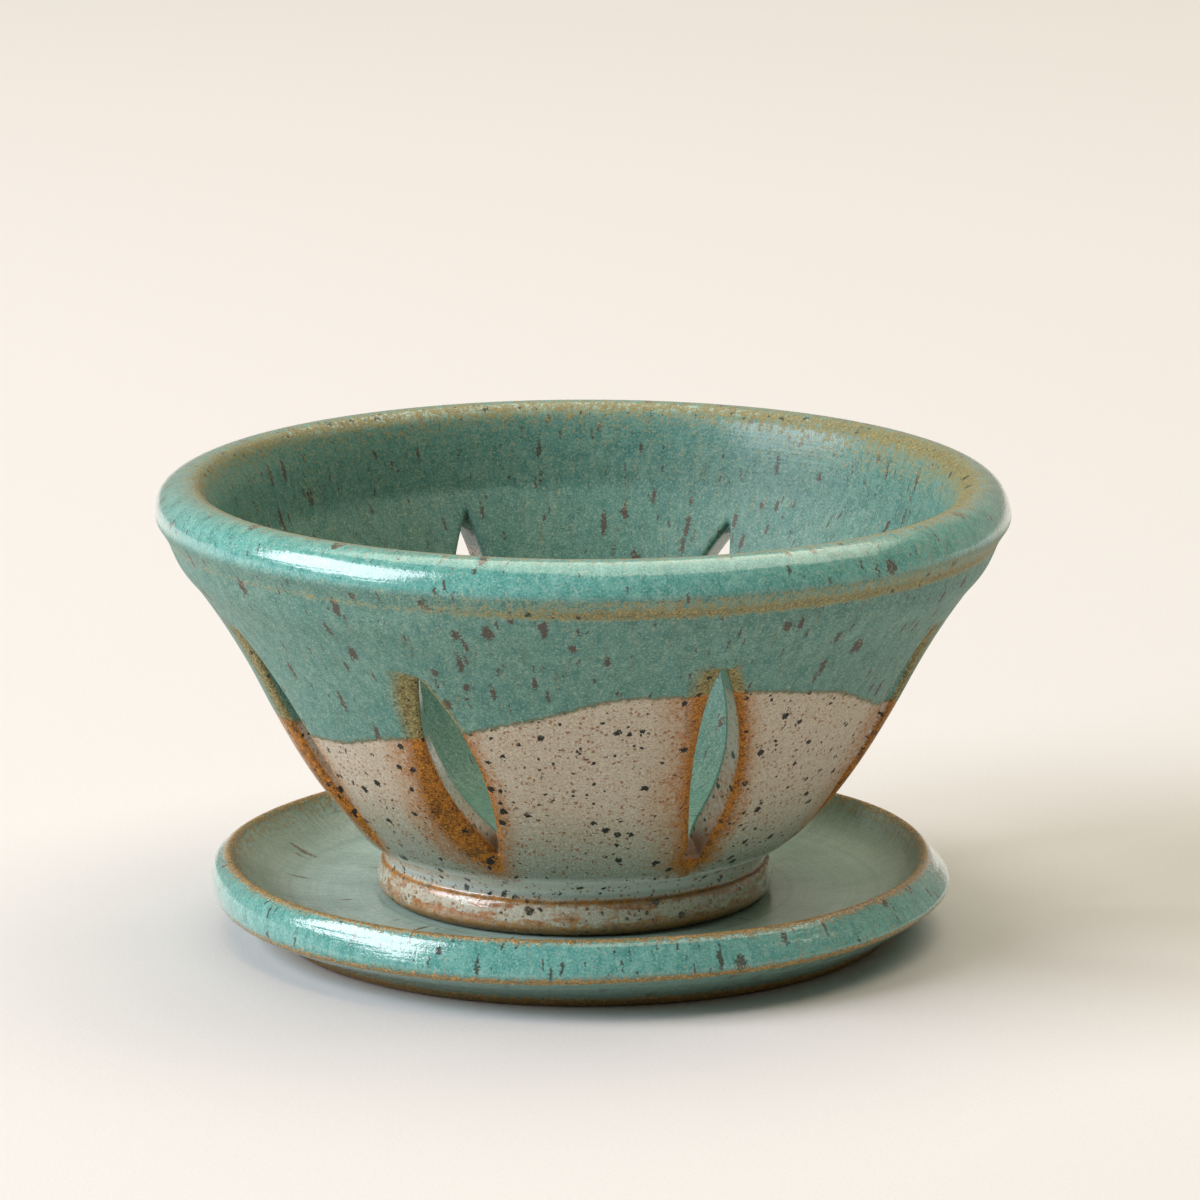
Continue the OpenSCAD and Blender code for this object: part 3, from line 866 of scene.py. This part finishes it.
# %% [markdown]
# ## Glazed stoneware of the saucer
# The saucer carries the turquoise glaze alone. It is thick and bright on the rim, greyer in the hollow and
# under the rim, and it breaks to sandy clay along both edges of the rim. Dark strokes of iron cross the
# rim, brown ones run down the hollow, and the base is bare.

# %% Saucer glaze
# The same stoneware and glaze, glossier, because the whole saucer was dipped once and laid thick
ground = glaze_ground("turquoise_glaze_on_stoneware_saucer")
tree, shader, along = ground["tree"], ground["shader"], ground["along"]
crumb, grain = ground["crumb"], ground["grain"]
combed = add(tree, "TexNoise", {"Vector": ground["runs"], "Scale": 1 / 0.55, "Detail": 3.0})
slope = coat(tree, "b2cebf", "c5dbcb", combed, 0.35, 0.65)
floor = coat(tree, "bfe0d5", "cdebe0", combed, 0.35, 0.65)
hollow = coat(tree, slope, floor, along, 71.0, 80.0)
outwards = add(tree, "CombineXYZ", {"Z": along})
rings = add(tree, "TexNoise", {"Vector": outwards, "Scale": 1 / 1.5, "Detail": 3.0})
hollow = coat(tree, hollow, "8ba79a", rings, 0.5, 0.7, 0.4)
hollow = coat(tree, hollow, "8fb0a3", ground["cloud"], 0.45, 0.65, 0.45)
hollow = coat(tree, hollow, "e4f0e6", crumb, 0.54, 0.68, 0.35)
hollow = coat(tree, hollow, "7d9585", crumb, 0.44, 0.32, 0.35)
hollow = coat(tree, hollow, "7c5640", specks(ground, ground["flow"], 2.6, 0.5, 0.7, 0.08), most=0.8)
sea = turquoise(ground, "33291f")
sea = coat(tree, sea, "a2c2b4", along, 58.6, 57.6, 0.4)
sea = coat(tree, sea, hollow, along, 65.8, 66.8, 0.82)

clay = coat(tree, "6f521f", "bf964e", grain, 0.3, 0.7)
clay = coat(tree, clay, "e0c78c", crumb, 0.52, 0.66, 0.7)
clay = coat(tree, clay, "33230c", crumb, 0.44, 0.32, 0.65)
clay = coat(tree, clay, "4a3417", along, 49.0, 47.5, 0.5)
worn = add(tree, "Math", {0: ground["thin"], 1: ground["crumbled"]}, operation="ADD")
sea = coat(tree, sea, "868a60", worn, 0.25, 0.6, 0.6)
bare = add(tree, "MapRange", {"Value": worn, "From Min": 0.5, "From Max": 0.75})
finish = coat(tree, sea, clay, bare)
tree.links.new(finish.outputs[2], shader.inputs["Base Color"])

# %% Saucer glaze: gloss and relief
gloss = add(tree, "Mix", {0: bare, 2: 0.1, 3: 0.42})
coarse = add(tree, "MapRange", {"Value": bare, "To Min": 0.5, "To Max": 1.6})
layers = add(tree, "Math", {0: grain, 1: coarse, 2: rings}, operation="MULTIPLY_ADD")
tree.links.new(gloss.outputs[0], shader.inputs["Roughness"])
tree.links.new(ground["pool"], shader.inputs["Coat Weight"])
fire(ground, drip_saucer, layers, body_ior=1.5)
